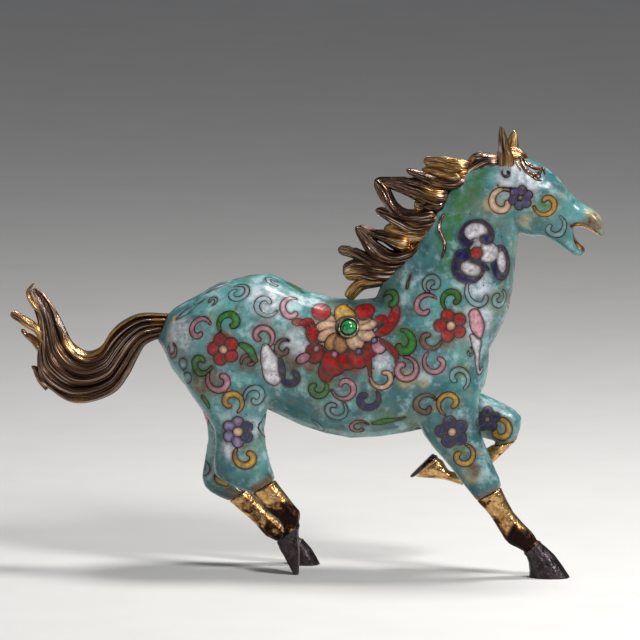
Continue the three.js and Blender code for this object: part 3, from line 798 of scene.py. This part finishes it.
def mesh_from_skins(name, skins):
    """One mesh of closed skins, each a grid of rings, with the fields of their points."""
    points, faces = [], []
    start = 0
    for rows, _ in skins:
        rings, sides = rows.shape[:2]
        points.append(rows.reshape(-1, 3))
        grid = start + np.arange(rings * sides).reshape(rings, sides)
        beside = np.roll(grid, -1, 1)
        quads = np.stack([grid[:-1], beside[:-1], beside[1:], grid[1:]], 2).reshape(-1, 4)
        faces.extend(quads.tolist())
        faces.append(grid[0][::-1].tolist())
        faces.append(grid[-1].tolist())
        start += rings * sides
    mesh = bpy.data.meshes.new(name)
    mesh.from_pydata(((np.vstack(points) + MIDDLE) * MM).tolist(), [], faces)
    mesh.update()
    outward = bmesh.new()
    outward.from_mesh(mesh)
    bmesh.ops.recalc_face_normals(outward, faces=outward.faces)
    outward.to_mesh(mesh)
    outward.free()
    for field in skins[0][1]:
        write_field(mesh, field, np.concatenate([fields[field].ravel() for _, fields in skins]))
    return mesh


MANE_LOCKS = [   # x, z and width along it, half thickness, lean of the tip, gilding left
    ([(66, 163.4, 4), (60, 163.4, 6.2), (54, 164.6, 5), (46.6, 165.2, 3.4)], 6.6, 0, 0.25),
    ([(66, 161.6, 4), (60, 160.4, 5.6), (54, 161.2, 5), (47, 162.2, 3)], 7.4, 1, 0.42),
    ([(64, 161, 4), (58, 159.5, 6), (52, 160.5, 5), (46, 162, 2)], 7.5, 0, 0.5),
    ([(66.5, 160, 6), (60, 157, 6.5), (52.5, 157.5, 6), (46, 159.5, 4), (39.8, 161.8, 2.4)], 8, -1, 0.1),
    ([(59, 151, 9), (51.5, 151.5, 10.4), (45.5, 153.6, 9), (39.5, 155.4, 7), (33, 156.5, 4.8),
      (27, 157, 2.8)], 8.5, 1, 0.2),
    ([(57, 148.5, 6), (52, 148, 8), (47, 147.8, 8), (43, 148, 5.4)], 8, 0, 0.1),
    ([(55, 145, 6.5), (46.5, 143.4, 5.6), (39.5, 143.4, 4.6), (34.3, 146.8, 4.8), (30.8, 152.8, 5.2),
      (27.5, 157.5, 3.2)], 9, -1, 0.1),
    ([(56.5, 143, 8), (50, 140.5, 8), (43, 139.5, 7.5), (37.5, 141.5, 6.8), (32.5, 143.5, 5),
      (27.5, 145.3, 3)], 8.5, 1, 0.15),
    ([(52, 138, 8), (45, 136, 8), (39.5, 135.8, 8), (35.5, 137, 6.4), (31, 138, 3.6)], 8, 0, 0.35),
    ([(50, 133.5, 9), (42.5, 127.8, 8), (35, 126, 6.8), (28.1, 129, 6.8), (23.5, 134, 5),
      (19.8, 138.6, 3)], 9, -1, 0.1),
    ([(44, 132.2, 8.5), (38, 133.2, 9.6), (31, 134.8, 5), (26, 135.8, 4), (20.6, 138.4, 3)], 8, 1, 0.2),
    ([(46.5, 128, 8.5), (38.5, 123.6, 7.5), (31.5, 123, 6.8), (24.5, 125.5, 5.4), (19, 128, 4.6),
      (12.6, 129.2, 4)], 8.5, 1, 0.1),
    ([(41, 123, 8), (34.5, 120.5, 9), (27.5, 120.5, 9), (20.5, 121, 8.5), (14.8, 119.5, 6)], 8.5, 0, 0.1),
    ([(36, 118.5, 4), (28.5, 116.8, 4.6), (22.5, 115.8, 5), (18.8, 112.8, 5), (16.8, 109.6, 4.4)], 6, -1,
      0.4),
    ([(79, 165.4, 4), (72.5, 165.2, 5.6), (68.5, 162.7, 7.2), (65, 159.4, 8), (61, 154, 8)], 7.6, 0, 0.1),
    ([(76.8, 165.4, 4), (72.3, 166.5, 4.6), (67.6, 166.7, 4.6), (64.8, 163.8, 3.4)], 4.5, 0, 0.3),
    ([(77, 166.5, 6), (81, 168.3, 6), (84.5, 167.8, 5.5), (87.6, 165.3, 3)], 4.5, 0, 0.45),
]
EARS = [   # x, z and width, half thickness, lean, y, opening in degrees, gilding left
    ([(80.2, 161, 6.4), (79.8, 167, 6), (79, 171.6, 4.4), (78.5, 175.2, 3.4), (78, 178.5, 2.2),
      (77.7, 180.7, 0.7)], 3, -1.2, -4.4, 285, 0.2),
    ([(80.6, 161, 4), (80.9, 166, 6), (81.3, 170, 5.2), (81.8, 174, 3.8), (82.4, 177.6, 1.2)], 3, 1, 4.4,
      75, 0.6),
]
TAIL = [   # sections from the rump to the tip: hollow x, z, outer x, z, half width across
    (-53, 101.8, -53, 92, 4.4), (-56, 102.3, -56, 92.5, 4.6), (-66.3, 102.3, -63.5, 89.5, 5.2),
    (-73.4, 99.3, -67, 84, 5.6), (-78.2, 95.2, -70.5, 77, 5.8), (-82.2, 89.2, -76, 70, 6),
    (-87, 87.2, -85, 66, 6), (-90.8, 88.8, -94, 65.3, 6), (-93.4, 92.2, -102, 68.7, 5.6),
    (-95, 96, -107.6, 74, 5.2), (-97.2, 100, -108.4, 82, 4.6), (-99.6, 103.7, -107.6, 89, 4),
    (-102.4, 107.2, -108, 97.3, 3.2), (-105.4, 110.3, -110.4, 105, 2.4), (-108, 112, -111.4, 109.7, 1),
]
TAIL_STRANDS = [   # place across the tail at root and end, end, width as a share, y, gilding left
    (0.06, 0.14, 0.7, 0.18, -1.2, 0.9), (0.22, 0.12, 1, 0.24, -2, 0.1), (0.38, 0.34, 1, 0.24, -2.6, 0.1),
    (0.55, 0.58, 0.94, 0.24, -2.8, 0), (0.72, 0.8, 0.84, 0.22, -2.4, 0.1),
    (0.88, 0.9, 0.66, 0.2, -1.6, 0.2), (0.2, 0.2, 0.9, 0.26, 1.8, 0.5), (0.42, 0.3, 1, 0.26, 2.6, 0.1),
    (0.62, 0.7, 0.9, 0.26, 2.4, 0.1), (0.82, 0.8, 0.7, 0.24, 1.8, 0.2),
]
TAIL_TIPS = [   # as for the mane
    ([(-105, 101.4, 3), (-108.4, 103.7, 2.8), (-110.8, 107, 2.2), (-111.6, 109.7, 1.8),
      (-110.6, 111.5, 1.4), (-109, 113.6, 0.6)], 2.4, 0, 0.6),
    ([(-103, 86.5, 3.4), (-105.2, 90.6, 3.4), (-107.6, 94.6, 3.6), (-111, 96.8, 4), (-114.8, 99.5, 3.8),
      (-118.3, 101.4, 3)], 3.4, -2, 0.4),
    ([(-105, 86, 4), (-107.4, 88.6, 4), (-109.6, 90.5, 3.4), (-112, 92.3, 2.8), (-114.4, 94.4, 1.6)], 3,
      2, 0.3),
    ([(-102.8, 71.5, 4), (-106, 75.1, 4), (-108.2, 78.3, 2.8), (-110, 80, 1)], 3, 0, 0.3),
]
LAID_STRANDS = [   # strands that lie on the skin: across and up in the picture, half width, flanks
    ([(54.6, 142), (53.2, 138.6), (53, 135.8), (54.1, 132.8), (55.2, 130), (54.9, 127.4), (53.8, 124.4)],
     0.85, (1, -1)),
    ([(83.6, 167.6), (85, 163.4), (86.6, 160.4), (89.2, 158.2), (91.8, 158.2), (93.2, 160.2)], 1.1, (1,)),
    ([(84.6, 165), (87.6, 162), (90.6, 160.4), (93.4, 160.4), (94.6, 158)], 0.9, (1,)),
    ([(85.6, 160.6), (88.4, 158), (91.2, 156), (93.4, 155.4)], 0.6, (1,)),
    ([(83, 166), (83.6, 162), (85, 159.4)], 0.6, (1, -1)),
]
GOLD_PATCHES = [   # where the hair kept its gilding: across and up in the picture, radius, amount
    (56.5, 160.4, 7, 0.5), (49.9, 151.8, 3, 0.4), (43.6, 146, 3.5, 0.4), (33.4, 136, 3.5, 0.4),
    (40, 131.3, 4, 0.5), (17.6, 118, 4, 0.4), (17.5, 112.2, 4, 0.4), (81, 164, 4, 0.3), (82, 176, 4, 0.3),
    (-93.7, 90.2, 4.5, 0.55), (-87.6, 85.8, 4.5, 0.55), (-110.1, 106.7, 3, 0.4), (-107.5, 95, 5, 0.4),
    (-57.8, 99.8, 3.5, 0.7),
]


def gild_patches(skin):
    """Adds the kept gilding to the skin's field."""
    points, fields = skin
    across, up = points @ VIEW_RIGHT, points @ VIEW_UP
    for patch_across, patch_up, radius, amount in GOLD_PATCHES:
        gap = (across - patch_across) ** 2 + (up - patch_up) ** 2
        fields["warm"] = fields["warm"] + amount * np.exp(-gap / radius ** 2)
    return skin


def laid_strands(painter):
    """Thin strands on the skin, from what a painter sees of each path."""
    made = []
    for path, half, flanks in LAID_STRANDS:
        for flank in flanks:
            seats = [painter.seat(across, up, flank) for across, up in spline(path, 30)]
            places = np.array([seat[0] + 0.25 * half * seat[1] for seat in seats if seat])
            if len(places) > 8:
                t = np.linspace(0.1, 1, len(places))
                size = half * (0.35 + 0.65 * np.sin(math.pi * t) ** 0.6)
                reach = sideways(places[:, [0, 2]]) * size[:, None]
                made.append(ribbed(places, reach, size, 0.25))
    return made


def build_mane(painter):
    skins = [lock(*row, seed=k) for k, row in enumerate(MANE_LOCKS)]
    skins += [ear(*row) for row in EARS]
    return mesh_from_skins("mane", [gild_patches(skin) for skin in skins + laid_strands(painter)])


TAIL_ACROSS = 6.0     # the half width of the tail for which the strands are given
STRAND_ACROSS = 3.9   # half thickness of a strand
CORE_SEED, STRAND_SEED, TIP_SEED = 60, 61, 80


def build_tail():
    """A core with strands laid along it on both sides, and free locks at the tips."""
    rows = spline(TAIL, 150)
    hollow, outer, across = rows[:, :2], rows[:, 2:4], rows[:, 4]
    middle, reach = (hollow + outer) / 2, (hollow - outer) / 2
    core = np.column_stack([middle[:, 0], 0 * across, middle[:, 1]])
    skins = [ribbed(core, 0.9 * reach, 0.8 * across, 0.1, CORE_SEED)]
    for k, (place, end_place, last, share, y, warm) in enumerate(TAIL_STRANDS):
        count = round(last * len(rows))
        t = np.linspace(0, 1, count)
        at = (1 - 2 * (place + (end_place - place) * t))[:, None]
        path = middle[:count] + at * reach[:count]
        thin = (1 - 0.8 * smooth_step(0.7, 1, t)) * across[:count] / TAIL_ACROSS
        spine = np.column_stack([path[:, 0], y * across[:count] / TAIL_ACROSS, path[:, 1]])
        half = reach[:count] * (share * thin)[:, None]
        skins.append(ribbed(spine, half, STRAND_ACROSS * thin, warm, STRAND_SEED + k))
    skins += [lock(*row, seed=TIP_SEED + k) for k, row in enumerate(TAIL_TIPS)]
    return mesh_from_skins("tail", [gild_patches(skin) for skin in skins])


def gilt_hair_material():
    g = Graph("gilt_cast_hair")
    worn = g.noise(7, 3, 0.6)
    drift = g.noise(9, 3, 0.6, 0.9)
    painted_groove_shade, hollow, warm = g.field("painted_groove_shade"), g.field("hollow"), g.field("warm")
    streak = g.noise(0.55, 2, 0.6, source=g.gather("round_p", "round_q", "along"))
    # Dark to mid tone along the strands, then thin painted highlights: pale pewter streaks on the bronze
    # and pale gold streaks on the gold.
    bronze = g.mix(g.ramp(streak, 0.35, 0.6), (38, 24, 18), (128, 96, 76))
    bronze = g.mix(g.ramp(streak, 0.55, 0.66, 0, 0.9), bronze, (236, 220, 208))
    gold = g.mix(g.ramp(streak, 0.3, 0.6), (96, 60, 28), (206, 158, 98))
    gold = g.mix(g.ramp(streak, 0.55, 0.66, 0, 0.85), gold, (252, 232, 192))
    shows = g.plus(g.ramp(g.plus(drift, warm), 0.74, 1.04), g.ramp(hollow, 0.4, 0.75, 0, 0.4))
    colour = g.mix(g.math("MINIMUM", shows, 1.0), bronze, gold)
    # Painted shade: the grooves between the ribs darkened nearly to black.
    colour = g.mix(g.ramp(painted_groove_shade, 0.28, 0.78, 0, 0.94), colour, (20, 12, 9))
    normal = g.bump(g.plus(streak, g.times(worn, 0.3)), 0.2)
    rough = g.ramp(streak, 0.3, 0.7, 0.38, 0.24)
    return g.finish(Base_Color=colour, Metallic=1.0, Roughness=rough, Normal=normal)


# Gilt lower legs with dark hooves
SHANK_VOXEL = 0.4
HOOFS = {   # where the dark horn starts, the way it points in the side view, and wear above it
    "right_fore_shank": ((90.3, 10.7), (0.66, -0.75), 0.24),
    "left_fore_shank": ((46.3, 40), (-0.65, 0.76), -0.1),
    "right_hind_shank": ((-6.5, 15.6), (0.62, -0.79), 0.24),
    "left_hind_shank": ((-4.6, 8.2), (0.55, -0.84), 0.16),
}
WEAR_REACH = 15   # length of leg above the hoof over which the gilding gets lost


def build_shank(node):
    """A smooth leg with a rim above the horn. The joint with the body and the sole stay as packed."""
    mesh = fine_skin(node, SHANK_VOXEL)
    points = points_of(mesh)
    free = smooth_step(0.2, 1.2, distance_to_nodes(points, ["body"], 3.0))
    free *= smooth_step(0.2, 1.0, points[:, 2])
    points = smoothed(mesh, points, free, 8)
    (x, z), (dx, dz), lost = HOOFS[node]
    past = (points[:, 0] - x) * dx + (points[:, 2] - z) * dz
    write_points(mesh, points)
    normals = normals_of(mesh)
    rim = 0.3 * np.exp(-((past - 0.3) / 0.6) ** 2) - 0.2 * np.exp(-((past + 0.9) / 0.6) ** 2)
    write_points(mesh, points + normals * (rim * free)[:, None])
    # Painted light and shade: gilding that faces the front of the leg is kept brighter and the back is
    # darker, on top of the wear towards the hoof.
    painted_light_facing = normals[:, 0] * -dz + normals[:, 2] * dx
    wear_and_painted_light = lost * smooth_step(-WEAR_REACH, -3, past) * (1 - 0.6 * painted_light_facing)
    write_field(mesh, "hoof", past)
    write_field(mesh, "wear_and_painted_light", wear_and_painted_light - 0.03 - 0.06 * painted_light_facing)
    return mesh


def gilt_leg_material():
    g = Graph("gilt_leg")
    gilding, gone = worn_gilding(g, g.field("wear_and_painted_light"))
    fine = g.noise(1.2, 4, 0.7, 0.4)
    hoof = g.ramp(g.plus(g.field("hoof"), g.times(fine, 0.6)), 0.1, 0.5)
    horn = g.mix(g.ramp(g.noise(3, 4, 0.7, 1.7), 0.35, 0.65), (54, 46, 48), (80, 71, 74))
    colour = g.mix(hoof, gilding, horn)
    normal = g.bump(g.noise(4, 3, 0.55, 2.0), 0.8)
    normal = g.bump(gone, 0.25, normal)
    normal = g.bump(fine, 0.04, normal)
    rough = g.ramp(gone, 0.3, 0.65, 0.26, 0.48)
    return g.finish(Base_Color=colour, Metallic=1.0, Roughness=rough, Normal=normal)


# Stone and bezel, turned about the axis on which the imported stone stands
STONE_SEAT = np.array([18.6, -17.3, 99.7])
STONE_TILT = math.radians(28)
STONE_PROFILE = [(0, 4), (1.2, 3.8), (2.2, 3.15), (2.9, 2.2), (3.2, 1.2), (3.2, 0)]   # radius, height
BEZEL_PROFILE = [
    (3.3, 1.4), (3.45, 2.1), (3.8, 2.25), (4.15, 1.9), (4.25, 1.3), (4.35, 0.5), (4.3, 0), (3.4, 0.2),
]
TURNED_SIDES = 64


def turned(name, profile, closed):
    """The profile turned round the stone's axis."""
    rows = spline(profile + [profile[0]] if closed else profile, 6 * len(profile))
    angle = np.linspace(0, 2 * math.pi, TURNED_SIDES, endpoint=False)
    radius, height = rows[:, :1], rows[:, 1:] * np.ones(TURNED_SIDES)
    outward = np.array([0, -math.cos(STONE_TILT), math.sin(STONE_TILT)])
    upward = np.array([0, math.sin(STONE_TILT), math.cos(STONE_TILT)])
    points = STONE_SEAT + height[:, :, None] * outward
    points += (radius * np.cos(angle))[:, :, None] * np.array([1.0, 0, 0])
    points += (radius * np.sin(angle))[:, :, None] * upward
    return mesh_from_skins(name, [(points, {})])


def stone_material():
    g = Graph("green_stone")
    vein = g.noise(1.6, 3, 0.6)
    colour = g.mix(g.ramp(vein, 0.3, 0.7), (6, 92, 44), (30, 150, 74))
    return g.finish(Base_Color=colour, Roughness=0.08, Coat_Weight=1.0, Coat_Roughness=0.03)


def bezel_material():
    g = Graph("bezel_metal")
    worn = g.noise(1.5, 3, 0.6)
    colour = g.mix(g.ramp(worn, 0.35, 0.65), (62, 50, 46), (176, 160, 146))
    return g.finish(Base_Color=colour, Metallic=1.0, Roughness=0.35, Normal=g.bump(worn, 0.05))


# Stage, in metres
FLOOR_HALF = 15.0
LIGHT_AIM = Vector((0, 0, 0.09))
LIGHTS = [   # name, place, size, power
    ("key", (0.6, -0.5, 0.7), 0.25, 7.5), ("top", (0.24, 0.17, 0.87), 0.26, 6.5),
    ("fill", (-0.8, -0.7, 0.35), 0.7, 1.1),
]


def floor_material():
    g = Graph("pale_floor")
    colour = g.mix(g.noise(40, 3), (214, 212, 208), (224, 222, 219))
    return g.finish(Base_Color=colour, Roughness=0.75)


def add_floor():
    mesh = bpy.data.meshes.new("floor")
    corners = [(x * FLOOR_HALF, y * FLOOR_HALF, 0) for x, y in ((-1, -1), (1, -1), (1, 1), (-1, 1))]
    mesh.from_pydata(corners, [], [(0, 1, 2, 3)])
    mesh.materials.append(floor_material())
    floor = placed("floor", mesh)


def add_light(name, place, size, power):
    data = bpy.data.lights.new(name, "AREA")
    data.shape = "DISK"
    data.size = size
    data.energy = power
    light = placed(name, data)
    light.location = place
    light.rotation_euler = (LIGHT_AIM - light.location).to_track_quat("-Z", "Y").to_euler()


def add_sky():
    world = bpy.data.worlds.new("studio")
    world.use_nodes = True
    background = world.node_tree.nodes["Background"].inputs
    background["Color"].default_value = (0.9, 0.93, 1.0, 1)
    background["Strength"].default_value = 0.14
    bpy.context.scene.world = world


def add_camera():
    data = bpy.data.cameras.new("view")
    data.sensor_width = 36
    data.lens = data.sensor_width * CAMERA_DISTANCE / PICTURE_SPAN
    data.clip_start = 0.01
    data.clip_end = 100
    camera = placed("view", data)
    across, up = PICTURE_CENTRE
    place = across * VIEW_RIGHT + up * VIEW_UP - CAMERA_DISTANCE * VIEW_FORWARD
    camera.location = Vector((place + MIDDLE) * MM)
    turned_right = VIEW_RIGHT * math.cos(ROLL) + VIEW_UP * math.sin(ROLL)
    turned_up = VIEW_UP * math.cos(ROLL) - VIEW_RIGHT * math.sin(ROLL)
    camera.rotation_euler = Matrix((turned_right, turned_up, -VIEW_FORWARD)).transposed().to_euler()
    bpy.context.scene.camera = camera


body_mesh = build_body_skin()
painter = paint_body(body_mesh)
add_piece("enamelled_body", body_mesh, enamel_material(), "body")

hair = gilt_hair_material()
add_piece("cast_mane", build_mane(painter), hair, "mane_and_ears")
add_piece("cast_tail", build_tail(), hair, "tail")

leg_finish = gilt_leg_material()
for node in SHANKS:
    add_piece(f"gilt_{node}", build_shank(node), leg_finish, node)

stone = turned("stone", STONE_PROFILE, closed=False)
add_piece("polished_stone", stone, stone_material(), "cabochon")
ring = turned("ring", BEZEL_PROFILE, closed=True)
add_piece("stone_bezel", ring, bezel_material(), "bezel")

add_floor()
for row in LIGHTS:
    add_light(*row)
add_sky()
add_camera()
bpy.context.scene.view_settings.view_transform = "Standard"
